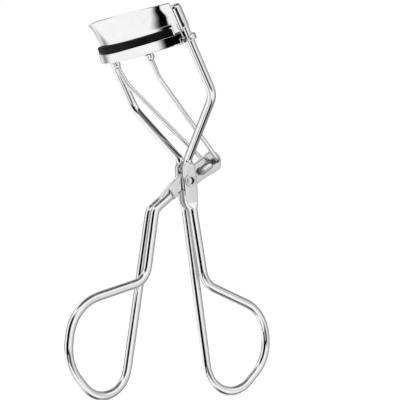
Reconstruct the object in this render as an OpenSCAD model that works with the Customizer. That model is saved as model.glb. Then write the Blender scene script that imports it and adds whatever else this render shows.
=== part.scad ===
// Wire-framed eyelash curler: a curved jaw on two slanted guide rods, worked by two looped wire handles.
// X runs across the jaw, parallel to the hinge; +Y is towards the fixed handle and +Z is up, towards the jaw.
// The origin is on the surface it stands on, under the middle of the two finger loops. Millimetres.

/* [Jaw] */
// Tilt of the guide rods, and of everything that slides on them, away from the upright (degrees)
rail_tilt = 29.4; // [15:0.1:40]
// Lean of the jaw's curve away from square to the guide rods, middle raised (degrees)
jaw_pitch = 5.0; // [0:0.5:12]
// Distance from the middle plane to each guide rod
rail_x = 17.5; // [14:0.1:22]
// Radius of the jaw's curve, at the middle of the metal
jaw_r = 29.5; // [25:0.1:40]
// Height of the upper jaw plate at its middle
plate_h = 7.2; // [6:0.1:12]
// Thickness of the upper jaw plate
plate_t = 0.6; // [0.4:0.1:1]
// Width of the lower bar, front wall to back wall
bar_w = 3.4; // [2.5:0.1:5]
// Height of the lower bar
bar_h = 2.6; // [2:0.1:4]
// How far the rubber pad stands above the lower bar
pad_show = 2.0; // [1:0.1:3]

/* [Wires] */
// Radius of the frame and handle wire
wire_r = 1.15; // [0.9:0.05:1.5]
// Radius of the thin link wire
link_r = 0.62; // [0.5:0.02:0.9]
// Half the distance between the fixed handle's two wires at the hinge
cheek_x = 1.55; // [1.3:0.05:2.5]
// Half the distance between the moving handle's two wires
lever_wire_x = 1.2; // [1.15:0.05:2]
// Half the distance between the link wires where they meet the lower bar
link_top_x = 7.8; // [5:0.1:12]
// Half the distance between the link wires where they meet the crank
link_foot_x = 2.95; // [2.5:0.05:4]

/* [Hinge] */
// Thickness of each flattened cheek
cheek_t = 1.15; // [0.8:0.05:1.5]
// Thickness of the lever plate that turns between the cheeks
lever_t = 1.7; // [1.2:0.05:2]
// Radius of the hinge rivet's barrel
rivet_r = 1.0; // [0.7:0.05:1.5]
// Radial running clearance of the hinge rivet in the lever plate
rivet_play = 0.05; // [0.01:0.01:0.1]
// Crank pin's distance from the hinge, along Y
crank_y = 8.9; // [6:0.1:12]
// Crank pin's distance from the hinge, along Z
crank_z = 5.8; // [3:0.1:9]
// Radial play of the crank pin in the ear's hole
crank_play = 0.25; // [0.2:0.01:0.5]

/* [Hidden] */
$fn = 48;
hinge_at = [0, 4.75, 57.3];
rail_y = 6.45;
rail_corner_z = 20.3;
rail_top_z = 45.2;
cheek_top = [-0.5, 4.4];
jaw_centre_y = 28.8;
pad_top_z = 40.2;
plate_top_z = pad_top_z + plate_h;
bar_top_z = pad_top_z - pad_show;
bar_bottom_z = bar_top_z - bar_h;
bar_wall = 0.5;
plate_end_angle = 36.3;
bar_end_angle = 35.4;
pad_end_angle = 32.0;
clip_r = 1.65;
clip_bottom_z = 39.2;
clip_top_z = 45.5;
eyelet_r = 2.0;
eyelet_play = 0.12;
eyelet_h = 1.7;
eyelet_z = 35.9;
eyelet_gap_turn = 37;
ferrule_r = 0.95;
ferrule_h = 1.5;
ferrule_play = 0.14;
ferrule_y = jaw_centre_y - sqrt(jaw_r * jaw_r - link_top_x * link_top_x);
link_sink = 0.25;
swell_r = 1.1;
swell_x = 1.15;
ear_r = 2.75;
overlap = 0.6;
pad_gap = 0.01;
bend_lap = 0.1;
bend_swell = 0.02;

function unit(v) = v / norm(v);
function bend_angle(a, b, c) = acos(unit(b - a) * unit(c - b));
function set_back(a, b, c, r) = r * tan(bend_angle(a, b, c) / 2);
function jaw_to_hinge(p) =
    [p[0],
     p[1] * cos(rail_tilt) - p[2] * sin(rail_tilt),
     p[1] * sin(rail_tilt) + p[2] * cos(rail_tilt)];

function curve_to_jaw(p) =
    [p[0],
     rail_y + (p[1] - rail_y) * cos(jaw_pitch) + (p[2] - pad_top_z) * sin(jaw_pitch),
     pad_top_z - (p[1] - rail_y) * sin(jaw_pitch) + (p[2] - pad_top_z) * cos(jaw_pitch)];

// The top end of a link wire and its first bend, about the hinge.
function link_head(side) =
    jaw_to_hinge(curve_to_jaw([side * link_top_x, ferrule_y, bar_bottom_z - link_sink]));
function link_bend(side) = [side * (link_top_x - 0.7), -13.9, 25.5];

// Puts a child drawn about the hinge axis in its place above the table.
module at_hinge() {
    translate(hinge_at)
        children();
}

// Puts a child drawn in the jaw's upright frame, rods vertical, in its place.
module at_jaw() {
    at_hinge()
        rotate([rail_tilt, 0, 0])
            children();
}

// Puts a child drawn in the jaw's curve, which leans about the rods at pad height, in its place.
module at_curve() {
    at_jaw()
        translate([0, rail_y, pad_top_z])
            rotate([-jaw_pitch, 0, 0])
                translate([0, -rail_y, -pad_top_z])
                    children();
}

// Puts a flat outline, drawn as Y and Z about the hinge, across X with a given thickness.
module flat_across(t) {
    rotate([90, 0, 90])
        translate([0, 0, -t / 2])
            linear_extrude(t)
                children();
}

// One straight length of wire from a to b.
module straight(a, b, r) {
    d = b - a;
    translate(a)
        rotate([0, acos(d[2] / norm(d)), atan2(d[1], d[0])])
            cylinder(h = norm(d), r = r);
}

// One bend of wire at corner b, between the lines from a and to c.
module elbow(a, b, c, bend_r, r) {
    d = unit(b - a);
    e = unit(c - b);
    n = unit(e - d * (d * e));
    x = -n;
    z = cross(x, d);
    m = b - d * set_back(a, b, c, bend_r) + n * bend_r;
    multmatrix([[x[0], d[0], z[0], m[0]],
                [x[1], d[1], z[1], m[1]],
                [x[2], d[2], z[2], m[2]],
                [0, 0, 0, 1]])
        rotate_extrude(angle = bend_angle(a, b, c))
            translate([bend_r, 0])
                circle(r = r);
}

// A wire bent along a list of corners; radii holds the bend radius at each inner corner.
// Each straight length runs a little way into its bends, which swell by a hair, as a bent wire's do.
module bent_wire(p, radii, r) {
    last = len(p) - 1;
    for (i = [0:last - 1]) {
        a = p[i];
        b = p[i + 1];
        cut_a = i == 0 ? 0 : set_back(p[i - 1], a, b, radii[i - 1]) - bend_lap;
        cut_b = i == last - 1 ? 0 : set_back(a, b, p[i + 2], radii[i]) - bend_lap;
        straight(a + unit(b - a) * cut_a, b - unit(b - a) * cut_b, r);
    }
    for (i = [1:last - 1])
        elbow(p[i - 1], p[i], p[i + 1], radii[i - 1], r + bend_swell);
}

// A part of a ring about the jaw's centre line, its outline drawn as radius and height.
module jaw_sweep(half_angle) {
    translate([0, jaw_centre_y, 0])
        rotate([0, 0, -90 - half_angle])
            rotate_extrude(angle = 2 * half_angle, $fn = 96)
                children();
}

module upper_plate() {
    crown_r = 150;
    flare_mid = 0.45;
    flare_top = 1.45;
    half_t = plate_t / 2;
    color("Silver")
    at_curve()
        intersection() {
            jaw_sweep(plate_end_angle)
                polygon([[jaw_r - half_t, pad_top_z],
                         [jaw_r + half_t, pad_top_z],
                         [jaw_r + half_t + flare_mid, pad_top_z + plate_h * 0.6],
                         [jaw_r + half_t + flare_top, plate_top_z],
                         [jaw_r - half_t + flare_top, plate_top_z],
                         [jaw_r - half_t + flare_mid, pad_top_z + plate_h * 0.6]]);
            translate([0, 0, plate_top_z - crown_r])
                rotate([90, 0, 0])
                    cylinder(h = 60, r = crown_r, center = true, $fn = 180);
        }
}

// The plate's end wrapped round the top of one guide rod, with its seam slot and the tab beside the rod.
module plate_clip(side) {
    slot_w = 0.35;
    slot_h = 5.0;
    slot_turn = 28;
    tab_w = 1.9;
    tab_h = 3.2;
    tab_angle = 34.6;
    tab_x = jaw_r * sin(tab_angle);
    tab_y = jaw_centre_y - jaw_r * cos(tab_angle);
    at_jaw()
        difference() {
            union() {
                translate([side * rail_x, rail_y, clip_bottom_z])
                    cylinder(h = clip_top_z - clip_bottom_z, r = clip_r);
                translate([side * tab_x, tab_y, bar_top_z + 0.15 + tab_h / 2])
                    rotate([0, 0, side * tab_angle])
                        cube([tab_w, plate_t, tab_h], center = true);
            }
            translate([side * rail_x, rail_y, clip_bottom_z - 1])
                cylinder(h = clip_top_z - clip_bottom_z - 0.5 + 1, r = wire_r);
            translate([side * rail_x, rail_y, clip_top_z - 0.9 - slot_h / 2])
                rotate([0, 0, -side * slot_turn])
                    translate([side * clip_r, 0, 0])
                        cube([clip_r * 1.2, slot_w, slot_h], center = true);
        }
}

module plate_clip_front() {
    color("Silver")
        plate_clip(1);
}

module plate_clip_rear() {
    color("Silver")
        plate_clip(-1);
}

// One rod: the straight guide stretch, the bend below the jaw and the run in to the cheek.
module rail_rod(side) {
    top = jaw_to_hinge([side * rail_x, rail_y, rail_top_z - 0.2]);
    corner = jaw_to_hinge([side * rail_x, rail_y, rail_corner_z]);
    foot = [side * cheek_x, cheek_top[0], cheek_top[1] + 1.2];
    at_hinge()
        bent_wire([top, corner, foot, [side * cheek_x, cheek_top[0] + 0.15, cheek_top[1] - overlap]],
                  [5, 1.2], wire_r);
}

module rail_rod_front() {
    color("Silver")
        rail_rod(1);
}

module rail_rod_rear() {
    color("Silver")
        rail_rod(-1);
}

// One flattened stretch of the frame wire, with its hole for the hinge rivet.
module cheek(side) {
    at_hinge()
        translate([side * cheek_x, 0, 0])
            flat_across(cheek_t)
                difference() {
                    polygon([[-1.45, 4.6], [0.85, 4.6], [1.6, 3.9], [2.3, 1.0], [2.75, -4.6],
                             [2.5, -5.9], [2.1, -7.4], [0.6, -7.4], [-0.7, -6.6], [-1.35, -5.2],
                             [-1.85, 0], [-2.0, 3.6]]);
                    circle(r = rivet_r);
                }
}

module cheek_front() {
    color("Silver")
        cheek(1);
}

module cheek_rear() {
    color("Silver")
        cheek(-1);
}

module fixed_handle_loop() {
    color("Silver")
    at_hinge()
        bent_wire([[cheek_x, 1.2, -7.0],
                   [cheek_x, 5.3, -27.3],
                   [cheek_x - 0.4, 25.5, -34.45],
                   [0, 28.5, -47.3],
                   [-cheek_x + 0.1, 10.84, -64.54],
                   [-cheek_x, 1.2, -7.0]],
                  [5.5, 11.3, 10.8, 8], wire_r);
}

module hinge_rivet() {
    head_r = 1.3;
    head_t = 0.35;
    half = cheek_x + cheek_t / 2 + 0.3;
    color("Silver")
    at_hinge()
        rotate([0, 90, 0])
            difference() {
                union() {
                    cylinder(h = 2 * half, r = rivet_r, center = true);
                    for (side = [-1, 1])
                        translate([0, 0, side * (half + head_t / 2)])
                            cylinder(h = head_t, r = head_r, center = true);
                }
                cylinder(h = 2 * half + 2, r = 0.55, center = true);
            }
}

module rivet_washers() {
    color("Silver")
    at_hinge()
        for (side = [-1, 1])
            translate([side * (cheek_x + cheek_t / 2 + 0.15), 0, 0])
                rotate([0, 90, 0])
                    difference() {
                        cylinder(h = 0.3, r = 1.72, center = true);
                        cylinder(h = 1, r = rivet_r, center = true);
                    }
}

// The moving handle's flattened top: wing, hub round the rivet, and the crank ear.
module lever_plate() {
    color("Silver")
    at_hinge()
        difference() {
            flat_across(lever_t)
                union() {
                    polygon([[-9.0, -4.6], [-7.0, -7.1], [-4.2, -4.6], [-2.0, -2.9], [1.2, -2.6],
                             [3.6, -0.3], [crank_y + 1.35, crank_z - 2.35],
                             [crank_y - 1.5, crank_z + 2.3], [2.4, 4.5], [-0.3, 2.8], [-2.4, 1.3]]);
                    circle(r = 2.9);
                    translate([crank_y, crank_z])
                        circle(r = ear_r);
                }
            rotate([0, 90, 0])
                cylinder(h = 10, r = rivet_r + rivet_play, center = true);
            translate([0, crank_y, crank_z])
                rotate([0, 90, 0])
                    cylinder(h = 10, r = link_r + crank_play, center = true);
        }
}

module moving_handle_loop() {
    color("Silver")
    at_hinge()
        bent_wire([[lever_wire_x, -5.6, -4.1],
                   [lever_wire_x, -10.9, -8.2],
                   [lever_wire_x, -13.8, -26.7],
                   [lever_wire_x - 0.4, -35.7, -33.15],
                   [0, -37.15, -47.9],
                   [-lever_wire_x + 0.1, -20.53, -65.03],
                   [-lever_wire_x, -10.9, -8.2],
                   [-lever_wire_x, -5.6, -4.1]],
                  [3, 5.5, 11.2, 12, 8, 3], wire_r);
}

// The short stretch of each wire left round between the hinge and the crank hole, on both faces of the ear.
module crank_swells() {
    reach = norm([crank_y, crank_z]);
    start = reach * 0.45;
    length = 2.6;
    neck = 0.7;
    color("Silver")
    at_hinge()
        rotate([atan2(crank_z, crank_y), 0, 0])
            for (side = [-1, 1])
                intersection() {
                    translate([side * (lever_t / 2 + 2), start + length / 2, 0])
                        cube([4, length + 2 * neck + 1, 4], center = true);
                    translate([side * swell_x, start, 0])
                        rotate([-90, 0, 0])
                            union() {
                                translate([0, 0, -neck])
                                    cylinder(h = neck, r1 = swell_r * 0.5, r2 = swell_r);
                                cylinder(h = length, r = swell_r);
                                translate([0, 0, length])
                                    cylinder(h = neck, r1 = swell_r, r2 = swell_r * 0.5);
                            }
                }
}

// One link wire: up in the bar's ferrule, bent below it, and turned inwards at the crank.
module link_wire(side) {
    at_hinge()
        bent_wire([link_head(side),
                   link_bend(side),
                   [side * link_foot_x, crank_y, crank_z],
                   [side * (link_foot_x - 1.7), crank_y, crank_z]],
                  [6, 0.9], link_r);
}

module link_wire_front() {
    color("Silver")
        link_wire(1);
}

module link_wire_rear() {
    color("Silver")
        link_wire(-1);
}

module crank_pin() {
    color("Silver")
    at_hinge()
        translate([0, crank_y, crank_z])
            rotate([0, 90, 0])
                cylinder(h = 2 * (link_foot_x - 1.7), r = link_r, center = true);
}

// The lower jaw's channel, open upwards to hold the pad.
module lower_bar() {
    half = bar_w / 2;
    color("Silver")
    at_curve()
        jaw_sweep(bar_end_angle)
            polygon([[jaw_r - half, bar_bottom_z + 0.3],
                     [jaw_r - half + 0.3, bar_bottom_z],
                     [jaw_r + half - 0.3, bar_bottom_z],
                     [jaw_r + half, bar_bottom_z + 0.3],
                     [jaw_r + half, bar_top_z],
                     [jaw_r + half - bar_wall, bar_top_z],
                     [jaw_r + half - bar_wall, bar_bottom_z + bar_wall],
                     [jaw_r - half + bar_wall, bar_bottom_z + bar_wall],
                     [jaw_r - half + bar_wall, bar_top_z],
                     [jaw_r - half, bar_top_z]]);
}

// A guide at one end of the lower bar: a ring round the rod, open outwards.
module slide_eyelet(side) {
    gap_w = 1.7;
    at_jaw()
        difference() {
            union() {
                translate([side * rail_x, rail_y, eyelet_z])
                    cylinder(h = eyelet_h, r = eyelet_r, center = true);
                translate([side * (rail_x - 1.75), rail_y - 0.95, eyelet_z])
                    rotate([0, 0, side * 36])
                        cube([1.8, 2.2, eyelet_h], center = true);
            }
            translate([side * rail_x, rail_y, eyelet_z])
                cylinder(h = eyelet_h + 2, r = wire_r + eyelet_play, center = true);
            translate([side * rail_x, rail_y, eyelet_z])
                rotate([0, 0, -side * eyelet_gap_turn])
                    translate([side * eyelet_r, 0, 0])
                        cube([2 * eyelet_r, gap_w, eyelet_h + 2], center = true);
        }
}

module slide_eyelet_front() {
    color("Silver")
        slide_eyelet(1);
}

module slide_eyelet_rear() {
    color("Silver")
        slide_eyelet(-1);
}

// The black rubber strip the lashes are pressed on, held in the channel.
module rubber_pad() {
    half = bar_w / 2 - bar_wall;
    lip = 0.35;
    color("DimGray")
    at_curve()
        jaw_sweep(pad_end_angle)
            polygon([[jaw_r - half, bar_bottom_z + bar_wall],
                     [jaw_r + half, bar_bottom_z + bar_wall],
                     [jaw_r + half, bar_top_z + 0.02],
                     [jaw_r + half + lip, bar_top_z + 0.3],
                     [jaw_r + half + lip, pad_top_z - 0.6],
                     [jaw_r + half - 0.2, pad_top_z - pad_gap],
                     [jaw_r - half + 0.2, pad_top_z - pad_gap],
                     [jaw_r - half - lip, pad_top_z - 0.6],
                     [jaw_r - half - lip, bar_top_z + 0.3],
                     [jaw_r - half, bar_top_z + 0.02]]);
}

module link_ferrules() {
    color("Silver")
    at_hinge()
        for (side = [-1, 1]) {
            head = link_head(side);
            down = unit(link_bend(side) - head);
            difference() {
                straight(head - down * link_sink, head + down * ferrule_h, ferrule_r);
                straight(head - down * 0.05, head + down * (ferrule_h + 1), link_r + ferrule_play);
            }
        }
}

upper_plate();
plate_clip_front();
plate_clip_rear();
rail_rod_front();
rail_rod_rear();
cheek_front();
cheek_rear();
fixed_handle_loop();
hinge_rivet();
rivet_washers();
lever_plate();
moving_handle_loop();
crank_swells();
link_wire_front();
link_wire_rear();
crank_pin();
lower_bar();
slide_eyelet_front();
slide_eyelet_rear();
rubber_pad();
link_ferrules();
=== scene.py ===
"""A wire-framed eyelash curler: chromed wire handles, a curved jaw and a black rubber pad.

Sizes are in millimetres about the hinge, or in the jaw's own upright frame, until a mesh is made,
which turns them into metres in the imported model's frame.
"""

import logging
from dataclasses import dataclass
from enum import Enum
from typing import Any, NamedTuple

import bpy
import numpy as np
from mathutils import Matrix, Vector
from numpy.typing import NDArray


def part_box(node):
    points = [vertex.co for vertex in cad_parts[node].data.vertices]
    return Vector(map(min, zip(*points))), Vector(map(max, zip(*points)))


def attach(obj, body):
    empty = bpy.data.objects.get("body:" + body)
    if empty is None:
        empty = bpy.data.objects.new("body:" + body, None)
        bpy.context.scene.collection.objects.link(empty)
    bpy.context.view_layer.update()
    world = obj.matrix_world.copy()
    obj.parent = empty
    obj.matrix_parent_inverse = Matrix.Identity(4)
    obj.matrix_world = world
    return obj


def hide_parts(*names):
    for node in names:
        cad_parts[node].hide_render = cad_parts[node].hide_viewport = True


Array = NDArray[np.float64]

MM = 0.001
AROUND = 40
SHARP_EDGE = np.radians(38.0)
FLAT_HOLD = 1.2

log = logging.getLogger("eyelash_curler")
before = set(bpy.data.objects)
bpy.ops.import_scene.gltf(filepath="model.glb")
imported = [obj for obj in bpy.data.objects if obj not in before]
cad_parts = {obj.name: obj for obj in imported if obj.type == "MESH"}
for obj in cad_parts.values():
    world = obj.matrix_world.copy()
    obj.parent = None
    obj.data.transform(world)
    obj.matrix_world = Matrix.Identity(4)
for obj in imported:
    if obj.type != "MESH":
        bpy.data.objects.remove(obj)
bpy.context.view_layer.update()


# ---------------------------------------------------------------- shader maths


class Value:
    """A shader socket or number that takes part in ordinary arithmetic."""

    def __init__(self, tree: "NodeTree", socket: Any) -> None:
        """Wraps one socket or number of a node tree."""
        self.tree = tree
        self.socket = socket

    def _math(self, operation: str, *terms: Any) -> "Value":
        """Adds one Math node over the given terms."""
        return self.tree.node("ShaderNodeMath", {"operation": operation}, list(terms))

    def __add__(self, other: Any) -> "Value":
        """This plus other."""
        return self._math("ADD", self, other)

    def __radd__(self, other: Any) -> "Value":
        """Other plus this."""
        return self._math("ADD", other, self)

    def __sub__(self, other: Any) -> "Value":
        """This minus other."""
        return self._math("SUBTRACT", self, other)

    def __rsub__(self, other: Any) -> "Value":
        """Other minus this."""
        return self._math("SUBTRACT", other, self)

    def __mul__(self, other: Any) -> "Value":
        """This times other."""
        return self._math("MULTIPLY", self, other)

    def __rmul__(self, other: Any) -> "Value":
        """Other times this."""
        return self._math("MULTIPLY", other, self)

    def clipped(self) -> "Value":
        """This held between 0 and 1."""
        return self.tree.node("ShaderNodeClamp", {}, [self])

    def ramp(self, low: float, high: float) -> "Value":
        """A smooth step from 0 at low to 1 at high; low may be the larger of the two.

        Args:
            low: Value where the step starts.
            high: Value where it ends.

        Returns:
            The step as a value from 0 to 1.
        """
        settings = {"interpolation_type": "SMOOTHSTEP", "clamp": True}
        return self.tree.node("ShaderNodeMapRange", settings, [self, low, high, 0.0, 1.0])


@dataclass
class NodeTree:
    """A node tree that is filled by one method."""

    tree: bpy.types.NodeTree

    def node(self, kind: str, settings: dict[str, Any], inputs: Any, output: Any = 0) -> Value:
        """Adds a node.

        Args:
            kind: The node's type name.
            settings: Properties set before the sockets.
            inputs: Values, numbers or colours for its sockets, in order or by name; None leaves one alone.
            output: The output socket's number or name.

        Returns:
            The chosen output, ready for arithmetic.
        """
        made = self.tree.nodes.new(kind)
        for name, value in settings.items():
            setattr(made, name, value)
        pairs = inputs.items() if isinstance(inputs, dict) else enumerate(inputs)
        for key, value in pairs:
            if isinstance(value, Value):
                self.tree.links.new(value.socket, made.inputs[key])
            elif value is not None:
                made.inputs[key].default_value = value
        return Value(self, made.outputs[output])

    def noise(self, where: Value, scale: float, detail: float = 3.0) -> Value:
        """Noise from 0 to 1 at a point.

        Args:
            where: The point.
            scale: Cells for each unit of the point's measure.
            detail: Octaves.

        Returns:
            The noise.
        """
        return self.node("ShaderNodeTexNoise", {}, {"Vector": where, "Scale": scale, "Detail": detail})

    def blend(self, share: Value, first: Any, second: Any) -> Value:
        """Mixes two colours.

        Args:
            share: How much of the second.
            first: Colour at share 0.
            second: Colour at share 1.

        Returns:
            The mixed colour.
        """
        return self.node("ShaderNodeMix", {"data_type": "RGBA"}, {0: share, 6: first, 7: second}, 2)


def grey(level: float, warmth: float = 0.0) -> tuple[float, float, float, float]:
    """A grey of a level, its red raised and its blue lowered by the share called warmth."""
    return (level * (1 + warmth), level, level * (1 - warmth), 1.0)


def fresh_material(name: str) -> tuple[bpy.types.Material, NodeTree, Any]:
    """Makes a material with only its shader and output.

    Args:
        name: The material's name.

    Returns:
        The material, its node tree and the Principled shader.
    """
    material = bpy.data.materials.new(name)
    material.use_nodes = True
    shader = material.node_tree.nodes["Principled BSDF"]
    return material, NodeTree(material.node_tree), shader


@dataclass(frozen=True)
class ChromeFinish:
    """Polished chrome plate: nearly a mirror, with drawing marks along a wire and painted shade in its
    seams, holes and joints.
    """

    name: str
    level: float = 0.93
    haze: float = 0.018
    marks: float = 0.5
    along: float = 0.12
    across: float = 2.6

    def material(self) -> bpy.types.Material:
        """Builds the finish.

        Returns:
            The material.
        """
        material, tree, shader = fresh_material(self.name)
        place = tree.node("ShaderNodeTexCoord", {}, [], "Object")
        local = tree.node("ShaderNodeUVMap", {}, [], "UV")
        # This point attribute is painted shade: it darkens the plate in seams, holes, slots and where parts
        # meet.
        painted_shade = tree.node("ShaderNodeAttribute", {"attribute_name": "painted_shade"}, [], "Fac")
        drawn = tree.node(
            "ShaderNodeMapping", {"vector_type": "POINT"},
            {"Vector": local, "Scale": (self.along, self.across, 1.0)})
        streaks = tree.noise(drawn, 3.0, 4.0)
        clouds = tree.noise(place, 420.0, 2.0)
        specks = tree.noise(place, 5200.0, 2.0).ramp(0.66, 0.74)
        tone = (0.4 * streaks + 0.6 * clouds).ramp(0.3, 0.75)
        plate = tree.blend(tone, grey(self.level * 0.93, 0.006), grey(self.level, -0.004))
        # Blends the painted shade and a few dust specks towards near black.
        shade_and_specks = tree.blend((painted_shade * 0.96 + specks * 0.03).clipped(), plate, grey(0.03, 0.1))
        rough = self.haze + 0.02 * clouds + 0.012 * streaks + 0.35 * painted_shade + 0.04 * specks
        height = streaks * self.marks + clouds * 0.8 + specks * 0.2
        relief = {"Strength": 0.2, "Distance": 0.000004, "Height": height}
        bump = tree.node("ShaderNodeBump", {}, relief, "Normal")
        links = material.node_tree.links
        links.new(shade_and_specks.socket, shader.inputs["Base Color"])
        links.new(rough.socket, shader.inputs["Roughness"])
        links.new(bump.socket, shader.inputs["Normal"])
        shader.inputs["Metallic"].default_value = 1.0
        return material


@dataclass(frozen=True)
class RubberFinish:
    """Matt black moulded rubber with a fine grain, a little dust and duller patches."""

    name: str

    def material(self) -> bpy.types.Material:
        """Builds the finish.

        Returns:
            The material.
        """
        material, tree, shader = fresh_material(self.name)
        place = tree.node("ShaderNodeTexCoord", {}, [], "Object")
        grain = tree.noise(place, 3800.0, 4.0)
        patches = tree.noise(place, 260.0, 3.0)
        dust = tree.noise(place, 6400.0, 2.0).ramp(0.68, 0.78)
        black = tree.blend(patches.ramp(0.35, 0.7), grey(0.002), grey(0.006, -0.02))
        colour = tree.blend(dust * 0.1, black, grey(0.12))
        rough = 0.34 + 0.16 * patches + 0.12 * grain
        height = grain * 0.7 + patches
        relief = {"Strength": 0.45, "Distance": 0.00004, "Height": height}
        bump = tree.node("ShaderNodeBump", {}, relief, "Normal")
        links = material.node_tree.links
        links.new(colour.socket, shader.inputs["Base Color"])
        links.new(rough.socket, shader.inputs["Roughness"])
        links.new(bump.socket, shader.inputs["Normal"])
        shader.inputs["Specular IOR Level"].default_value = 0.06
        return material


class Finish(Enum):
    """The finishes the pieces take, with the record's slot for each."""

    WIRE = ("polished_chrome", ChromeFinish("Chromed_wire", marks=0.3))
    PLATE = ("polished_chrome", ChromeFinish("Chromed_plate", 0.94, 0.02, 0.35, 0.5, 1.6))
    SMALL = ("polished_chrome", ChromeFinish("Chromed_small_part", 0.9, 0.035, 0.4, 0.8, 2.0))
    RUBBER = ("black_rubber", RubberFinish("Black_rubber"))

    @property
    def slot(self) -> str:
        """The record's material slot."""
        return self.value[0]

    def material(self) -> bpy.types.Material:
        """The finish's material, made once."""
        found = bpy.data.materials.get(self.value[1].name)
        return found or self.value[1].material()


# ---------------------------------------------------------------- curves and surfaces


def smooth(values: Any, low: float, high: float) -> Array:
    """A smooth step: t squared times (3 - 2t), where t runs from 0 at low to 1 at high."""
    t = np.clip((np.asarray(values, float) - low) / (high - low), 0.0, 1.0)
    return t * t * (3 - 2 * t)


def unit(vectors: Array) -> Array:
    """Each vector over its own length."""
    return vectors / np.linalg.norm(vectors, axis=-1, keepdims=True)


def even(path: Array, step: float) -> Array:
    """Points spaced evenly along a path, found by interpolating its length.

    Args:
        path: Points of the path, one in each row.
        step: Wanted spacing.

    Returns:
        The new points.
    """
    length = np.r_[0.0, np.cumsum(np.linalg.norm(np.diff(path, axis=0), axis=1))]
    at = np.linspace(0.0, length[-1], max(2, int(round(length[-1] / step)) + 1))
    return np.column_stack([np.interp(at, length, path[:, axis]) for axis in range(path.shape[1])])


def bend(before: Array, corner: Array, after: Array, radius: float) -> Array:
    """The arc of a wire's bend: a circle touching both straights, set back by radius times tan(half angle).

    Args:
        before: A point on the straight before the corner.
        corner: Where the straights would meet.
        after: A point on the straight after it.
        radius: Bend radius.

    Returns:
        Points of the arc.
    """
    inward, outward = unit(corner - before), unit(after - corner)
    angle = float(np.arccos(np.clip(inward @ outward, -1, 1)))
    side = unit(outward - inward * (inward @ outward))
    start = corner - inward * radius * np.tan(angle / 2)
    turn = np.linspace(0, angle, 25)[:, None]
    return start + radius * (inward * np.sin(turn) + side * (1 - np.cos(turn)))


def bent_path(corners: list[Any], radii: list[float], step: float = 0.35, ease: int = 7) -> Array:
    """A wire's centre line: straights joined by bends, then a running mean that evens its curvature.

    Args:
        corners: The corners, end points among them.
        radii: Bend radius at each inner corner.
        step: Spacing of the result.
        ease: Points the running mean covers.

    Returns:
        Evenly spaced points.
    """
    p = [np.asarray(corner, float) for corner in corners]
    arcs = [bend(p[i], p[i + 1], p[i + 2], radius) for i, radius in enumerate(radii)]
    path = even(np.vstack([p[0], *arcs, p[-1]]), step)
    half = ease // 2
    before = 2 * path[0] - path[half:0:-1]
    after = 2 * path[-1] - path[-2:-half - 2:-1]
    padded = np.vstack([before, path, after])
    kernel = np.hanning(ease + 2)[1:-1]
    kernel /= kernel.sum()
    return np.column_stack([np.convolve(padded[:, axis], kernel, "valid") for axis in range(3)])


def carried(path: Array, reference: Any, thin: Any, wide: Any, power: Any = 2.0,
            around: int = AROUND) -> Array:
    """A rounded profile carried along a path: the curve |x/thin|^p + |y/wide|^p = 1, x along the reference.

    Args:
        path: Centre line.
        reference: Direction that the thin axis keeps to, never along the path.
        thin: Half-thickness along the reference, for all points or one for each.
        wide: Half-width across it.
        power: Roundness; 2 is an ellipse and more is flatter.
        around: Points round the profile.

    Returns:
        Grid of points: path, then round, then XYZ.
    """
    tangent = unit(np.gradient(path, axis=0))
    aim = np.asarray(reference, float)
    first = unit(aim - tangent * (tangent @ aim)[:, None])
    second = np.cross(tangent, first)
    sizes = (np.broadcast_to(np.asarray(v, float), len(path))[:, None] for v in (thin, wide, power))
    thin, wide, power = sizes
    angle = np.linspace(0, 2 * np.pi, around, endpoint=False)[None, :]
    x = thin * np.sign(np.cos(angle)) * np.abs(np.cos(angle)) ** (2 / power)
    y = wide * np.sign(np.sin(angle)) * np.abs(np.sin(angle)) ** (2 / power)
    return path[:, None, :] + x[..., None] * first[:, None, :] + y[..., None] * second[:, None, :]


def filleted(corners: Any, radius: float, each: int = 6) -> Array:
    """A closed outline with every corner rounded by a quadratic curve from one side to the next.

    One more point on each side of a rounding keeps the shading of the flats between them flat.

    Args:
        corners: Corners in order, one in each row.
        radius: How far from the corner the rounding starts, or one for each corner.
        each: Points in each rounding.

    Returns:
        The outline's points.
    """
    p = np.asarray(corners, float)
    r = np.broadcast_to(np.asarray(radius, float), len(p))[:, None]
    start = p + unit(np.roll(p, 1, 0) - p) * r
    end = p + unit(np.roll(p, -1, 0) - p) * r
    t = np.linspace(0, 1, each)[None, :, None]
    curve = (1 - t) ** 2 * start[:, None] + 2 * t * (1 - t) * p[:, None] + t ** 2 * end[:, None]
    held = [p + (side - p) * FLAT_HOLD for side in (start, end)]
    return np.concatenate([held[0][:, None], curve, held[1][:, None]], axis=1).reshape(-1, 2)


def closed_curve(points: Any, each: int = 8) -> Array:
    """A closed smooth curve through points: between two, the cubic whose slopes join their neighbours.

    Args:
        points: Points in order.
        each: Samples between two points.

    Returns:
        The curve's points.
    """
    p1 = np.asarray(points, float)
    p0, p2, p3 = np.roll(p1, 1, 0), np.roll(p1, -1, 0), np.roll(p1, -2, 0)
    t = np.linspace(0, 1, each, endpoint=False)[None, :, None]
    p0, p1, p2, p3 = (p[:, None, :] for p in (p0, p1, p2, p3))
    curve = 0.5 * (2 * p1 + (p2 - p0) * t + (2 * p0 - 5 * p1 + 4 * p2 - p3) * t ** 2
                   + (3 * p1 - p0 - 3 * p2 + p3) * t ** 3)
    return curve.reshape(-1, 2)


def revolved(radius: Any, height: Any, around: int = 48) -> Array:
    """A profile turned about Z: x is radius times cos, y is radius times sin, z is height.

    Args:
        radius: Distance from the axis at each point of the profile.
        height: Height of each point.
        around: Points in one turn.

    Returns:
        Grid of points: profile, then round, then XYZ.
    """
    angle = np.linspace(0, 2 * np.pi, around, endpoint=False)[None, :]
    r, z = np.asarray(radius, float)[:, None], np.asarray(height, float)[:, None]
    return np.stack([r * np.cos(angle), r * np.sin(angle), z + 0 * angle], axis=-1)


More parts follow.
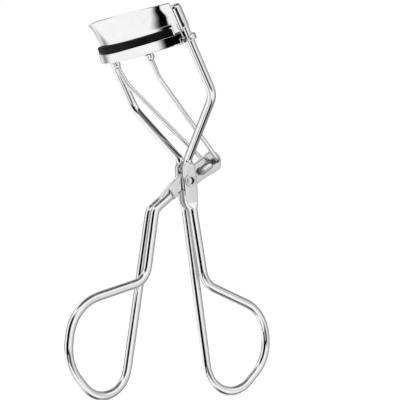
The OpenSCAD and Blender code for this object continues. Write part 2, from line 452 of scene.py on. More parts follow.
@dataclass(frozen=True)
class Place:
    """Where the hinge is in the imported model, and how the jaw stands on it."""

    hinge: tuple[float, float, float]
    rail_tilt: float = 29.4
    jaw_pitch: float = 5.0
    rail_x: float = 17.5
    rail_y: float = 6.45
    pad_top: float = 40.2

    def from_jaw(self, points: Any) -> Array:
        """Turns points of the jaw's upright frame about X by the rods' tilt.

        Args:
            points: Points in the jaw's frame, XYZ last.

        Returns:
            The points about the hinge.
        """
        p, a = np.asarray(points, float), np.radians(self.rail_tilt)
        y, z = p[..., 1], p[..., 2]
        return np.stack([p[..., 0], y * np.cos(a) - z * np.sin(a), y * np.sin(a) + z * np.cos(a)], axis=-1)

    def from_curve(self, points: Any) -> Array:
        """Leans points of the jaw's curve about the rods at pad height, then tilts them with the rods.

        Args:
            points: Points in the curve's frame, XYZ last.

        Returns:
            The points about the hinge.
        """
        p, a = np.asarray(points, float), np.radians(self.jaw_pitch)
        y, z = p[..., 1] - self.rail_y, p[..., 2] - self.pad_top
        leaned = np.stack([p[..., 0], self.rail_y + y * np.cos(a) + z * np.sin(a),
                           self.pad_top - y * np.sin(a) + z * np.cos(a)], axis=-1)
        return self.from_jaw(leaned)

    def to_row(self, points: Array) -> Array:
        """Points about the hinge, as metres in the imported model's frame."""
        return points * MM + np.asarray(self.hinge)


@dataclass
class Shell:
    """One closed surface of a piece: a grid of points, closed round its second direction.

    A ring-shaped shell closes in its first direction too; any other is closed by a cap at each end.
    """

    points: Array
    ring: bool = False
    # Painted shade at each point, from 0 to 1: darkening where shade falls in seams, holes and joints.
    painted_shade: Any = 0.0


def faces_of(rows: int, columns: int, ring: bool) -> Array:
    """Corner numbers of a grid's quads: point (i, j) is number i times columns plus j, and j wraps round.

    Args:
        rows: Points in the first direction.
        columns: Points in the second.
        ring: True if the first direction wraps round too.

    Returns:
        One row of four corners for each quad.
    """
    i, j = np.meshgrid(np.arange(rows if ring else rows - 1), np.arange(columns), indexing="ij")
    i2, j2 = (i + 1) % rows, (j + 1) % columns
    quads = np.stack([i * columns + j, i * columns + j2, i2 * columns + j2, i2 * columns + j], axis=-1)
    return quads.reshape(-1, 4)


def volume_of(points: Array, faces: Array) -> float:
    """Signed volume inside quads: the sum of the triple products of their triangles over 6."""
    a, b, c, d = (points[faces[:, k]] for k in range(4))
    return float((np.cross(a, b) * c + np.cross(a, c) * d).sum() / 6)


def make_piece(name: str, body: str, nodes: list[str], finish: Finish, place: Place,
               shells: list[Shell]) -> bpy.types.Object:
    """Makes one object of closed shells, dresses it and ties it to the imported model.

    A quad's place in the UV map is its length along and its length round, both in millimetres.

    Args:
        name: The piece's name.
        body: The body it rides on.
        nodes: The CAD nodes it stands for.
        finish: Its finish.
        place: Where the hinge is.
        shells: Its surfaces, about the hinge.

    Returns:
        The object.
    """
    corners, quads, caps, uvs, painted_shades, start = [], [], [], [], [], 0
    for shell in shells:
        rows, columns = shell.points.shape[:2]
        points = shell.points.reshape(-1, 3)
        faces = faces_of(rows, columns, shell.ring)
        ends = [] if shell.ring else [np.arange(columns)[::-1], (rows - 1) * columns + np.arange(columns)]
        hollow = shell.points.mean(axis=1)
        along = np.r_[0.0, np.cumsum(np.linalg.norm(np.diff(hollow, axis=0), axis=1))]
        if shell.ring or along[-1] < 1e-6:
            along = np.r_[0.0, np.cumsum(np.linalg.norm(np.diff(shell.points[:, 0], axis=0), axis=1))]
        side = np.linalg.norm(shell.points[:, 0] - shell.points[:, 1], axis=1).mean()
        i, j = np.divmod(np.arange(len(faces)), columns)
        last = np.r_[along, along[-1] + side]
        uv = np.stack([np.stack([last[i], j * side], -1), np.stack([last[i], (j + 1) * side], -1),
                       np.stack([last[i + 1], (j + 1) * side], -1), np.stack([last[i + 1], j * side], -1)],
                      axis=1)
        if volume_of(points - points.mean(0), faces) < 0:
            faces, uv, ends = faces[:, ::-1], uv[:, ::-1], [end[::-1] for end in ends]
        corners.append(points)
        painted_shades.append(np.broadcast_to(np.asarray(shell.painted_shade, float), (rows, columns)).ravel())
        quads.append(faces + start)
        uvs.append(uv.reshape(-1, 2))
        caps += [end + start for end in ends]
        start += len(points)
    vertices = place.to_row(np.vstack(corners))
    faces, uv = np.vstack(quads), np.vstack(uvs)
    mesh = bpy.data.meshes.new(name)
    mesh.from_pydata(vertices.tolist(), [], faces.tolist() + [cap.tolist() for cap in caps])
    uv = np.vstack([uv, np.zeros((sum(map(len, caps)), 2))])
    layer = mesh.uv_layers.new(name="UVMap")
    layer.data.foreach_set("uv", uv.astype(np.float32).ravel())
    # Stores each point's painted shade, which the chrome finish turns into darkening.
    attribute = mesh.attributes.new("painted_shade", "FLOAT", "POINT")
    attribute.data.foreach_set("value", np.concatenate(painted_shades).astype(np.float32))
    mesh.shade_smooth()
    mesh.set_sharp_from_angle(angle=SHARP_EDGE)
    mesh.validate()
    mesh.update()
    piece = bpy.data.objects.new(name, mesh)
    bpy.context.scene.collection.objects.link(piece)
    mesh.materials.append(finish.material())
    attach(piece, body)
    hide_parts(*nodes)
    log.info("%s: %d points on %s", name, len(vertices), body)
    return piece


# ---------------------------------------------------------------- the frame


@dataclass
class FrameWire:
    """One wire that runs down a guide rod, through a cheek, round the fixed loop and up the other side."""

    place: Place
    wire_r: float = 1.15
    rail_top: float = 45.0
    rail_corner: float = 20.3
    cheek_x: float = 1.55
    cheek_t: float = 1.15
    cheek_half: float = 2.12

    def centre_line(self) -> Array:
        """The whole wire's centre line, front rod to rear rod."""
        x = self.cheek_x
        top, corner = (self.place.from_jaw([self.place.rail_x, self.place.rail_y, z])
                       for z in (self.rail_top, self.rail_corner))
        mirror = np.array([-1.0, 1.0, 1.0])
        down = [top, corner, (x, -0.5, 5.6), (x, 0.2, 0.5), (x, 0.67, -4.6)]
        loop = [(x, 1.2, -7.0), (x, 5.3, -27.3), (x - 0.4, 25.5, -34.45), (0, 28.5, -47.3),
                (-x + 0.1, 10.84, -64.54), (-x, 1.2, -7.0)]
        up = [np.asarray(p) * mirror for p in down[::-1]]
        radii = [5, 1.6, 20, 20, 20, 5.5, 11.3, 10.8, 8, 20, 20, 20, 1.6, 5]
        return bent_path(down + loop + up, radii)

    def surface(self, path: Array) -> tuple[Array, Array]:
        """The wire's surface: round, but pressed flat across X where it passes the hinge.

        Args:
            path: The centre line.

        Returns:
            The grid of points, and how flat each station is.
        """
        z = path[:, 2]
        near = np.abs(path[:, 0]) < 4.5
        flat = smooth(z, -7.6, -5.6) * (1 - smooth(z, 3.7, 5.3)) * near
        half = self.cheek_half - 0.012 * (z + 0.8) ** 2 * flat
        thin = self.wire_r + (self.cheek_t / 2 - self.wire_r) * flat
        wide = self.wire_r + (half - self.wire_r) * flat
        return carried(path, (1, 0, 0), thin, wide, 2 + 4.5 * flat), flat

    def build(self) -> None:
        """Cuts the wire at the cheeks and makes its five pieces."""
        path = self.centre_line()
        grid, flat = self.surface(path)
        pressed = np.flatnonzero(flat > 0.02)
        split = int(np.flatnonzero(np.diff(pressed) > 1)[0])
        cuts = [0, pressed[0], pressed[split], pressed[split + 1], pressed[-1], len(path) - 1]
        names = ["rail_rod_front", "cheek_front", "fixed_handle_loop", "cheek_rear", "rail_rod_rear"]
        for name, first, last in zip(names, cuts[:-1], cuts[1:]):
            make_piece("chromed_" + name, "frame", [name], Finish.WIRE, self.place,
                       [Shell(grid[first:last + 1])])


@dataclass
class HingeRivet:
    """A tubular rivet through the cheeks, its ends flared over a ring washer on each side."""

    place: Place
    bore: float = 0.74
    head_r: float = 1.28
    barrel_r: float = 1.0
    half: float = 2.77
    curl: float = 0.3
    washer_r: float = 1.72
    washer_in: float = 1.02
    washer_x: float = 2.125
    washer_t: float = 0.3

    def along_x(self, points: Array) -> Array:
        """Turns a shape that stands on Z so that it lies along X."""
        return np.stack([points[..., 2], points[..., 0], points[..., 1]], axis=-1)

    def build(self) -> None:
        """Makes the rivet and its two washers as turned profiles."""
        lip = np.linspace(0, np.pi, 12)
        middle = (self.head_r + self.bore + 0.12) / 2
        reach = (self.head_r - self.bore - 0.12) / 2
        bore, half, curl = self.bore, self.half, self.curl
        r = np.r_[bore, bore, bore + 0.04, middle - reach * np.cos(lip), self.barrel_r]
        z = np.r_[0.0, half - 0.9, half - 0.5, half - curl + curl * np.sin(lip), half - 0.36]
        radius, height = np.r_[r, r[::-1]], np.r_[z, -z[::-1]]
        # Painted shade: the bore is darkened almost to black, and the barrel between the flared heads is
        # darkened too.
        shaded = np.where(np.abs(height) < half - curl, 0.9, 0.0)
        dark = np.where(radius < bore + 0.16, 0.98, shaded)[:, None]
        make_piece("turned_hinge_rivet", "frame", ["hinge_rivet"], Finish.SMALL, self.place,
                   [Shell(self.along_x(revolved(radius, height)), True, dark)])
        inner, outer, thick = self.washer_in, self.washer_r, self.washer_t
        section = filleted([[inner, 0], [outer, 0], [outer, thick], [inner, thick]],
                           [0.05, 0.05, 0.12, 0.08])
        shells = []
        for side in (1, -1):
            grid = self.along_x(revolved(section[:, 0], side * (self.washer_x + section[:, 1])))
            # Painted shade round each washer's outer rim on the cheek side, where it meets the cheek.
            edge = smooth(section[:, 0], outer - 0.16, outer - 0.04) * (section[:, 1] < 0.2)
            shells.append(Shell(grid, True, 0.95 * edge[:, None]))
        make_piece("domed_rivet_washers", "frame", ["rivet_washers"], Finish.SMALL, self.place, shells)


# ---------------------------------------------------------------- the lever


@dataclass
class MovingHandle:
    """The moving loop, its flattened top between the cheeks, and the crank ear that pulls the links."""

    place: Place
    wire_r: float = 1.15
    wire_x: float = 1.2
    plate_t: float = 1.7
    crank: tuple[float, float] = (8.9, 5.8)
    hole_r: float = 0.87
    ear_r: float = 2.75
    edge: float = 0.32
    swell_r: float = 1.12

    def loop_grid(self) -> Array:
        """The loop's round wire, pressed thin where its two ends run into the lever plate."""
        x = self.wire_x
        path = bent_path([(x, -3.9, -2.75), (x, -10.9, -8.2), (x, -13.8, -26.7), (x - 0.4, -35.7, -33.15),
                          (0, -37.15, -47.9), (-x + 0.1, -20.53, -65.03), (-x, -10.9, -8.2),
                          (-x, -3.9, -2.75)], [3, 5.5, 11.2, 12, 8, 3])
        top = smooth(path[:, 2], -4.7, -3.6)
        path[:, 0] *= 1 - 0.5 * top
        thin = self.wire_r - (self.wire_r - 0.3) * top
        return carried(path, (1, 0, 0), thin, self.wire_r + 0.5 * top, 2 + 2 * top)

    def plate_outline(self) -> Array:
        """The lever plate's outline across the hinge, wing to ear."""
        y, z = self.crank
        turn = np.radians(np.array([-52, -22, 8, 38, 68, 98, 128]))
        ear = np.column_stack([y + self.ear_r * np.cos(turn), z + self.ear_r * np.sin(turn)])
        lower = [(-8.8, -5.6), (-7.4, -7.1), (-4.6, -5.1), (-2.0, -3.0), (0.3, -2.85), (2.3, -1.5),
                 (5.6, 0.9)]
        upper = [(4.6, 6.0), (2.2, 4.3), (-0.3, 2.9), (-2.4, 1.3), (-5.6, -1.5)]
        return closed_curve(np.vstack([lower, ear, upper]), 8)

    def plate_grid(self) -> tuple[Array, Array]:
        """The plate as a ring: round its rolled outline, over one face, down the crank hole and back.

        Returns:
            The grid of points, and the painted shade in its seam groove and crank hole.
        """
        outline = self.plate_outline()
        ahead = unit(np.roll(outline, -1, 0) - np.roll(outline, 1, 0))
        inward = np.stack([-ahead[:, 1], ahead[:, 0]], axis=-1)
        half, e = self.plate_t / 2, self.edge
        quarter = np.linspace(0, np.pi / 2, 6)
        inset = np.r_[e * (1 - np.cos(quarter[::-1])), 0, 0.14, 0, e * (1 - np.cos(quarter))]
        edge = half - e + e * np.sin(quarter)
        across = np.r_[-edge[::-1], -0.09, 0, 0.09, edge]
        outer = outline[None] + inward[None] * inset[:, None, None]
        angle = np.arctan2(outline[:, 1] - self.crank[1], outline[:, 0] - self.crank[0])
        hole = np.stack([np.cos(angle), np.sin(angle)], axis=-1)
        rim = 0.14
        hole_in = np.r_[rim * (1 - np.sin(quarter)), rim * (1 - np.sin(quarter[::-1]))]
        hole_x = np.r_[half - rim + rim * np.cos(quarter), -(half - rim) - rim * np.cos(quarter[::-1])]
        inner = np.asarray(self.crank) + hole[None] * (self.hole_r + hole_in)[:, None, None]
        flat = np.concatenate([outer, inner])
        x = np.r_[across, hole_x][:, None]
        grid = np.dstack([np.broadcast_to(x, flat.shape[:2]), flat])
        # Painted shade down the groove between the two strands and inside the crank hole.
        seam_and_hole_shade = np.zeros(flat.shape[:2])
        seam_and_hole_shade[len(quarter) + 1] = 0.9
        seam_and_hole_shade[len(inset) + len(quarter) - 1:len(inset) + len(quarter) + 1] = 0.75
        return grid, seam_and_hole_shade

    def swell_grid(self, side: int) -> Array:
        """A short stretch of wire left round between hinge and crank hole, its ends sinking into the plate.

        Args:
            side: 1 for the front face and -1 for the rear.

        Returns:
            The grid of points.
        """
        reach = float(np.hypot(*self.crank))
        direction = np.array([0.0, self.crank[0], self.crank[1]]) / reach
        along = np.linspace(0.3, 4.0, 44)
        bulge = smooth(along, 0.3, 0.6) * (1 - smooth(along, 3.7, 4.0))
        path = direction * (reach * 0.45 + along)[:, None]
        path[:, 0] = side * (0.45 + 0.7 * bulge)
        radius = 0.35 + (self.swell_r - 0.35) * bulge
        return carried(path, (1, 0, 0), radius, radius + 0.25 * (1 - bulge), 2.0, 28)

    def swell_shade(self) -> Array:
        """Painted shade round both ends of a swell, where it sinks into the plate, falling off as a bell
        curve of the distance from each end.
        """
        share = np.linspace(0, 1, 44)
        return (0.95 * np.exp(-(share / 0.13) ** 2) + 0.7 * np.exp(-((1 - share) / 0.07) ** 2))[:, None]

    def build(self) -> None:
        """Makes the loop, the plate and the swells."""
        make_piece("chromed_moving_handle_loop", "lever", ["moving_handle_loop"], Finish.WIRE, self.place,
                   [Shell(self.loop_grid())])
        grid, seam_and_hole_shade = self.plate_grid()
        make_piece("pressed_lever_plate", "lever", ["lever_plate"], Finish.SMALL, self.place,
                   [Shell(grid, True, seam_and_hole_shade)])
        make_piece("round_crank_swells", "lever", ["crank_swells"], Finish.SMALL, self.place,
                   [Shell(self.swell_grid(side), False, self.swell_shade()) for side in (1, -1)])


# ---------------------------------------------------------------- the jaw


@dataclass
class JawCurve:
    """The curve that the plate, the bar and the pad follow."""

    place: Place
    radius: float = 29.5
    centre_y: float = 28.8
    bar_foot: float = 35.6
    link_x: float = 7.8
    link_sink: float = 0.25
    bend_in: float = 0.7
    bend_at: tuple[float, float] = (-13.9, 25.5)

    def link_head(self, side: int) -> Array:
        """A link wire's top end, just inside the bar's foot.

        Its y is the curve's centre less the root of the radius squared less x squared.

        Args:
            side: 1 for the front link and -1 for the rear.

        Returns:
            The point about the hinge.
        """
        y = self.centre_y - np.sqrt(self.radius ** 2 - self.link_x ** 2)
        return self.place.from_curve([side * self.link_x, y, self.bar_foot - self.link_sink])

    def link_bend(self, side: int) -> Array:
        """The corner of a link wire's bend below the bar, about the hinge."""
        return np.array([side * (self.link_x - self.bend_in), *self.bend_at])

    def swept(self, section: Array, end_angle: float, stations: int, shape: Any = None) -> Array:
        """Carries a section round the jaw's curve: x is r sin(angle), y is the centre less r cos(angle).

        Args:
            section: Radius offset and height of each point of the section.
            end_angle: Half the curve's angle in degrees.
            stations: Places along the curve.
            shape: Optional function of the angles and the section that returns changed offsets and heights.

        Returns:
            The grid of points about the hinge.
        """
        angle = np.radians(np.linspace(-end_angle, end_angle, stations))[:, None]
        offset = np.broadcast_to(section[:, 0], (stations, len(section)))
        height = np.broadcast_to(section[:, 1], (stations, len(section)))
        if shape is not None:
            offset, height = shape(angle, offset, height)
        r = self.radius + offset
        grid = np.stack([r * np.sin(angle), self.centre_y - r * np.cos(angle), height], axis=-1)
        return self.place.from_curve(grid)


@dataclass
class UpperJaw:
    """The curved upper plate and the clips that its ends make round the guide rods."""

    curve: JawCurve
    height: float = 7.2
    thickness: float = 0.6
    flare: float = 1.45
    crown_r: float = 150.0
    end_angle: float = 36.0
    clip_r: float = 1.65
    clip_low: float = 39.2
    clip_high: float = 45.5
    slot_turn: float = 28.0

    def plate_grid(self) -> Array:
        """The plate: upright at its foot, flared outwards by a power of its height, its top crowned."""
        low, half = self.curve.place.pad_top, self.thickness / 2
        foot, rim = 0.006, 0.97
        up = np.linspace(foot, rim, 15)
        roll = np.linspace(0, np.pi, 9)[1:-1]
        flat, turn = np.ones_like(up), np.ones_like(roll)
        share = np.r_[up, turn * rim, up[::-1], turn * foot]
        side = np.r_[flat * half, half * np.cos(roll), -flat * half, -half * np.cos(roll)]
        lift = np.r_[0 * flat, 0.22 * np.sin(roll), 0 * flat, -0.03 * np.sin(roll)]
        section = np.column_stack([side, share])

        def shape(angle: Array, offset: Array, height: Array) -> tuple[Array, Array]:
            """Adds the flare and turns shares of the height into heights under the crown."""
            x = self.curve.radius * np.sin(angle)
            top = low + self.height - self.crown_r + np.sqrt(self.crown_r ** 2 - x ** 2)
            return offset + self.flare * height ** 2.3, low + (top - low) * height + lift

        return self.curve.swept(section, self.end_angle, 120, shape)

    def clip_grid(self, side: int) -> tuple[Array, Array]:
        """A rolled clip: a domed tube whose wall sinks in a narrow slot, cut as a groove in its radius.

        Args:
            side: 1 for the front rod and -1 for the rear.

        Returns:
            The grid of points about the hinge, and the painted shade in the slot.
        """
        dome = np.linspace(0, np.pi / 2, 10)
        round_r = 0.85
        r, foot, head = self.clip_r, self.clip_low, self.clip_high
        radius = np.r_[0.02, r - 0.28, r - 0.08, np.full(40, r), r - round_r * (1 - np.cos(dome)),
                       0.3, 0.02]
        height = np.r_[foot, foot, foot + 0.05, np.linspace(foot + 0.2, head - round_r, 40),
                       head - round_r * (1 - np.sin(dome)), head + 0.04, head + 0.05]
        around = 160
        grid = revolved(radius, height, around)
        angle = np.linspace(0, 2 * np.pi, around, endpoint=False)[None, :]
        aim = np.radians(-self.slot_turn) if side > 0 else np.pi + np.radians(self.slot_turn)
        away = np.abs((angle - aim + np.pi) % (2 * np.pi) - np.pi) * r
        tall = height[:, None]
        low, high = head - 5.9, head - 0.9
        wide = 0.17 + 0.16 * np.exp(-((tall - low - 0.35) / 0.35) ** 2)
        inside = (1 - smooth(away - wide, -0.06, 0.06)) * smooth(tall, low - 0.1, low + 0.15)
        inside = inside * (1 - smooth(tall, high - 0.15, high + 0.1))
        grid[..., :2] *= (1 - 0.22 * inside)[..., None]
        grid = grid + np.array([side * (self.curve.place.rail_x - 0.2), self.curve.place.rail_y - 0.24, 0])
        return self.curve.place.from_jaw(grid), inside

    def tab_grid(self, side: int) -> Array:
        """The small tab beside the rod, a rounded bar of metal that runs down behind the pad's end.

        Args:
            side: 1 for the front and -1 for the rear.

        Returns:
            The grid of points about the hinge.
        """
        section = filleted([[0.92, 0.3], [-0.92, 0.3], [-0.92, -0.3], [0.92, -0.3]], 0.16, 5)
        angle = side * np.radians(34.6)
        centre = np.array([self.curve.radius * np.sin(angle),
                           self.curve.centre_y - self.curve.radius * np.cos(angle)])
        across = np.array([np.cos(angle), np.sin(angle)])
        out = np.array([np.sin(angle), -np.cos(angle)])
        flat = centre + section[:, :1] * across + section[:, 1:] * out
        z = np.array([38.36, 38.42, 38.6, 39.6, 40.6, 41.5])[:, None]
        size = np.array([0.86, 0.95, 1, 1, 1, 1])[:, None, None]
        rings = centre + (flat - centre)[None] * size
        return self.curve.place.from_jaw(np.dstack([rings, np.broadcast_to(z, rings.shape[:2])]))

    def build(self) -> None:
        """Makes the plate and both clips, each with its tab."""
        place = self.curve.place
        make_piece("curved_upper_plate", "frame", ["upper_plate"], Finish.PLATE, place,
                   [Shell(self.plate_grid())])
        for side, end in ((1, "front"), (-1, "rear")):
            # The slot's mask comes back as painted shade inside the slot.
            grid, slot = self.clip_grid(side)
            make_piece("rolled_plate_clip_" + end, "frame", ["plate_clip_" + end], Finish.SMALL, place,
                       [Shell(grid, False, slot), Shell(self.tab_grid(side))])


@dataclass
class LowerJaw:
    """The channel bar that slides on the rods, its rubber pad, guide eyelets and link ferrules."""

    curve: JawCurve
    width: float = 3.4
    top: float = 38.2
    wall: float = 0.5
    bar_angle: float = 35.4
    pad_angle: float = 32.0
    eyelet_z: float = 36.25
    eyelet_r: float = 1.63

    def bar_grid(self) -> Array:
        """The channel's section, rolled at its foot and eased at its lips, carried round the curve."""
        h, w, foot, top = self.width / 2, self.wall, self.curve.bar_foot, self.top
        section = filleted([[-h, foot], [h, foot], [h, top], [h - w, top], [h - w, foot + w],
                            [-h + w, foot + w], [-h + w, top], [-h, top]],
                           [0.22, 0.22, 0.2, 0.2, 0.15, 0.15, 0.2, 0.2], 6)
        return self.curve.swept(section, self.bar_angle, 110)

    def pad_grid(self) -> Array:
        """The pad: a soft-shouldered strip that overhangs the channel and rounds off at both ends."""
        low, high = self.curve.bar_foot + self.wall, self.curve.place.pad_top - 0.01
        foot, over = self.width / 2 - self.wall - 0.01, self.width / 2 - self.wall + 0.36
        neck, brim = self.top + 0.12, self.top + 0.16
        section = filleted([[-foot, low], [foot, low], [foot, neck], [over, brim], [over, high],
                            [-over, high], [-over, brim], [-foot, neck]],
                           [0.1, 0.1, 0.08, 0.2, 0.62, 0.62, 0.2, 0.08], 8)
        limit = np.radians(self.pad_angle)
        middle = (self.top + high) / 2

        def shape(angle: Array, offset: Array, height: Array) -> tuple[Array, Array]:
            """Shrinks what is above the channel towards its middle at each end, as a quarter circle."""
            t = np.clip((np.abs(angle) - limit + 0.045) / 0.045, 0, 1)
            size = np.sqrt(np.maximum(1 - (0.93 * t) ** 2, 0.05))
            above = height > self.top
            return offset * size, np.where(above, middle + (height - middle) * size, height)

        return self.curve.swept(section, self.pad_angle, 150, shape)

    def eyelet_grid(self, side: int) -> Array:
        """A strap from the bar's end, wound round the rod until it meets itself.

        Args:
            side: 1 for the front rod and -1 for the rear.

        Returns:
            The grid of points about the hinge.
        """
        turn = np.radians(np.linspace(-88, -408, 72))
        arc = np.column_stack([self.eyelet_r * np.cos(turn), self.eyelet_r * np.sin(turn)])
        tail = np.array([[-2.2, -2.7], [-1.5, -2.2], [-0.9, -1.85], [-0.35, -1.66]])
        flat = np.vstack([tail, arc])
        place = self.curve.place
        path = even(np.column_stack([side * (place.rail_x + flat[:, 0]), place.rail_y + flat[:, 1],
                                     np.full(len(flat), self.eyelet_z)]), 0.16)
        thin = np.full(len(path), 0.76)
        thin[-3:] = [0.73, 0.66, 0.52]
        wide = np.full(len(path), 0.36)
        wide[-3:] = [0.34, 0.29, 0.18]
        return place.from_jaw(carried(path, (0, 0, 1), thin, wide, 4.0, 32))

    def ferrule_grid(self, side: int) -> Array:
        """A short rolled collar that holds a link wire's head under the bar.

        Args:
            side: 1 for the front link and -1 for the rear.

        Returns:
            The grid of points about the hinge.
        """
        head = self.curve.link_head(side)
        down = unit(self.curve.link_bend(side) - head)
        path = head + down * np.linspace(-0.2, 1.5, 8)[:, None]
        radius = np.array([1.12, 1.12, 1.12, 1.12, 1.12, 1.1, 1.04, 0.9])
        return carried(path, (1, 0, 0), radius, radius, 2.0, 32)

    def build(self) -> None:
        """Makes the bar, the pad, the two eyelets and the ferrules."""
        place = self.curve.place
        make_piece("channel_lower_bar", "lower_jaw", ["lower_bar"], Finish.PLATE, place,
                   [Shell(self.bar_grid())])
        make_piece("moulded_rubber_pad", "lower_jaw", ["rubber_pad"], Finish.RUBBER, place,
                   [Shell(self.pad_grid())])
        for side, end in ((1, "front"), (-1, "rear")):
            make_piece("strap_slide_eyelet_" + end, "lower_jaw", ["slide_eyelet_" + end], Finish.SMALL,
                       place, [Shell(self.eyelet_grid(side))])
        make_piece("rolled_link_ferrules", "lower_jaw", ["link_ferrules"], Finish.SMALL, place,
                   [Shell(self.ferrule_grid(side)) for side in (1, -1)])


@dataclass
class LinkWires:
    """The two thin wires from the lower bar to the crank ear, and the pin that joins them there."""

    curve: JawCurve
    wire_r: float = 0.62
    foot_x: float = 2.95
    pin_x: float = 1.25
    crank: tuple[float, float] = (8.9, 5.8)

    def build(self) -> None:
        """Makes each wire, bent below the bar and hooked inwards at the crank, and the pin."""
        y, z = self.crank
        for side, name in ((1, "front"), (-1, "rear")):
            head = self.curve.link_head(side)
            path = bent_path([head, self.curve.link_bend(side), (side * self.foot_x, y, z),
                              (side * self.pin_x, y, z)], [6, 1.0], 0.2, 5)
            # Painted shade at both ends of the wire: where it hooks through the crank ear and where it
            # enters the ferrule.
            from_foot, from_head = (np.linalg.norm(path - end, axis=1) for end in (path[-1], head))
            end_shade = 0.9 * (1 - smooth(from_foot, 1.2, 3.0)) + 0.6 * (1 - smooth(from_head, 1.2, 2.1))
            make_piece("drawn_link_wire_" + name, "link", ["link_wire_" + name], Finish.WIRE,
                       self.curve.place, [Shell(
                           carried(path, (0, 0.66, 0.75), self.wire_r, self.wire_r, 2.0, 28), False,
                           end_shade[:, None])])
        path = np.column_stack([np.linspace(-self.pin_x, self.pin_x, 8), np.full(8, y), np.full(8, z)])
        make_piece("drawn_crank_pin", "link", ["crank_pin"], Finish.WIRE, self.curve.place,
                   [Shell(carried(path, (0, 1, 0), self.wire_r, self.wire_r, 2.0, 28))])


# ---------------------------------------------------------------- the studio


class Opening(NamedTuple):
    """A dark opening in the sweep, in degrees.

    Its azimuths are where it starts, is full, is still full and ends, and its elevations the same.
    """

    azimuths: tuple[float, float, float, float]
    elevations: tuple[float, float, float, float]
    share: float = 1.0

    def darkness(self, azimuth: Value, height: Value) -> Value:
        """How dark a direction is, as a product of four smooth steps and the opening's share.

        Args:
            azimuth: Direction round the upright, in degrees.
            height: Direction's elevation, in degrees.

        Returns:
            The opening's share inside it and 0 outside.
        """
        start, full, still, end = self.azimuths
        low, from_low, to_high, high = self.elevations
        return (azimuth.ramp(start, full) * azimuth.ramp(end, still)
                * height.ramp(low, from_low) * height.ramp(high, to_high)) * self.share


PLATE_BAND = Opening((-15, 3, 11, 15), (-88, -80, -32, -30.5))
OPENINGS = {
    "bar band": Opening((-8, 5, 34, 38), (-31.5, -30.5, -20, -15)),
    "handle streak": Opening((-16, 2, 44, 62), (-20, -15, 34, 50)),
    "rod streak": Opening((40, 54, 88, 114), (-36, -30, -15, -6), 0.9),
    "left behind": Opening((-182, -181, -124, -100), (-80, -40, 50, 60), 0.72),
    "left edge": Opening((-110, -92, -60, -46), (-10, -2, 28, 38), 0.75),
    "cheek tone": Opening((96, 116, 136, 150), (-20, -8, 12, 24), 0.24),
}


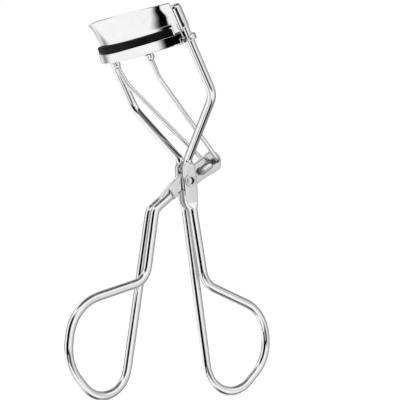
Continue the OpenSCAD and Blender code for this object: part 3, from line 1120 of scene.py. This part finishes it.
@dataclass
class Studio:
    """A pale floor, a white sweep all round with dark openings in it, soft lights and the camera."""

    camera_azimuth: float = 52.5
    camera_elevation: float = -4.5
    distance: float = 0.400
    target: tuple[float, float, float] = (0.0, 0.0096, 0.0525)
    lens: float = 133.9

    def world(self) -> None:
        """White light from everywhere, with the dark openings that polished metal mirrors as streaks."""
        world = bpy.data.worlds.new("Studio_sweep")
        world.use_nodes = True
        bpy.context.scene.world = world
        tree = NodeTree(world.node_tree)
        ray = tree.node("ShaderNodeTexCoord", {}, [], "Generated")
        x, y, z = (tree.node("ShaderNodeSeparateXYZ", {}, [ray], axis) for axis in range(3))
        degrees = 180.0 / np.pi
        azimuth = tree.node("ShaderNodeMath", {"operation": "ARCTAN2"}, [x, y * -1.0]) * degrees
        height = tree.node("ShaderNodeMath", {"operation": "ARCSINE"}, [z]) * degrees
        below = (height * -1.0 - 45.0) * (1.0 / 22.0) * height.ramp(-44.9, -45.1)
        turned = azimuth + below * below * 18.0
        away = tree.node("ShaderNodeMath", {"operation": "ABSOLUTE"}, [azimuth])
        dark = PLATE_BAND.darkness(turned, height)
        for opening in OPENINGS.values():
            dark = dark + opening.darkness(azimuth, height)
        right_side, zenith = azimuth.ramp(122, 172) * 0.72, height.ramp(48, 62) * 0.88
        nadir = height.ramp(-58, -70) * away.ramp(34, 62) * 0.92
        dark = (dark + right_side + zenith + nadir).clipped()
        colour = tree.blend(dark, grey(1.0), grey(0.002))
        mirror = tree.node("ShaderNodeLightPath", {}, [], "Is Glossy Ray")
        shown = tree.blend(mirror, grey(1.0), colour)
        background = world.node_tree.nodes["Background"]
        world.node_tree.links.new(shown.socket, background.inputs["Color"])
        background.inputs["Strength"].default_value = 1.0

    def floor(self) -> None:
        """A wide pale sheet that the loops stand on."""
        size = 3.0
        mesh = bpy.data.meshes.new("floor")
        corners = [(-size, -size, 0), (size, -size, 0), (size, size, 0), (-size, size, 0)]
        mesh.from_pydata(corners, [], [(0, 1, 2, 3)])
        floor = bpy.data.objects.new("floor", mesh)
        bpy.context.scene.collection.objects.link(floor)
        material, tree, shader = fresh_material("Pale_paper")
        place = tree.node("ShaderNodeTexCoord", {}, [], "Object")
        tone = tree.blend(tree.noise(place, 40.0).ramp(0.3, 0.7), grey(0.97), grey(0.99))
        material.node_tree.links.new(tone.socket, shader.inputs["Base Color"])
        shader.inputs["Roughness"].default_value = 0.9
        shader.inputs["Emission Strength"].default_value = 0.08
        shader.inputs["Emission Color"].default_value = grey(1.0)
        mesh.materials.append(material)
        floor.visible_glossy = False

    def lights(self) -> None:
        """Two large soft panels, one above and one to the camera's left."""
        for name, where, size, power in (("top_panel", (0.1, -0.2, 0.9), 0.9, 2.2),
                                         ("side_panel", (-0.6, -0.5, 0.4), 0.6, 1.2)):
            data = bpy.data.lights.new(name, "AREA")
            data.size, data.energy = size, power
            lamp = bpy.data.objects.new(name, data)
            lamp.location = where
            aim = Vector(self.target) - Vector(where)
            lamp.rotation_euler = aim.to_track_quat("-Z", "Y").to_euler()
            lamp.visible_glossy = False
            bpy.context.scene.collection.objects.link(lamp)

    def camera(self) -> None:
        """The camera, from low on the front right."""
        a, e = np.radians(self.camera_azimuth), np.radians(self.camera_elevation)
        back = Vector((np.sin(a) * np.cos(e), -np.cos(a) * np.cos(e), np.sin(e)))
        data = bpy.data.cameras.new("camera")
        data.lens, data.sensor_width = self.lens, 36.0
        data.clip_start, data.clip_end = 0.01, 20.0
        camera = bpy.data.objects.new("camera", data)
        camera.location = Vector(self.target) + back * self.distance
        camera.rotation_euler = (-back).to_track_quat("-Z", "Y").to_euler()
        bpy.context.scene.collection.objects.link(camera)
        bpy.context.scene.camera = camera

    def build(self) -> None:
        """Sets up the studio."""
        self.world()
        self.floor()
        self.lights()
        self.camera()
        bpy.context.scene.view_settings.view_transform = "Standard"


def hinge_centre() -> tuple[float, float, float]:
    """The hinge axis at the middle plane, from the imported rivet's box."""
    low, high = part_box("hinge_rivet")
    middle = (low + high) / 2
    return (middle.x, middle.y, middle.z)


def main() -> None:
    """Builds the curler and its studio."""
    place = Place(hinge_centre())
    curve = JawCurve(place)
    Studio().build()
    FrameWire(place).build()
    HingeRivet(place).build()
    MovingHandle(place).build()
    UpperJaw(curve).build()
    LowerJaw(curve).build()
    LinkWires(curve).build()


if __name__ == "__main__":
    logging.basicConfig(level=logging.INFO)
    main()
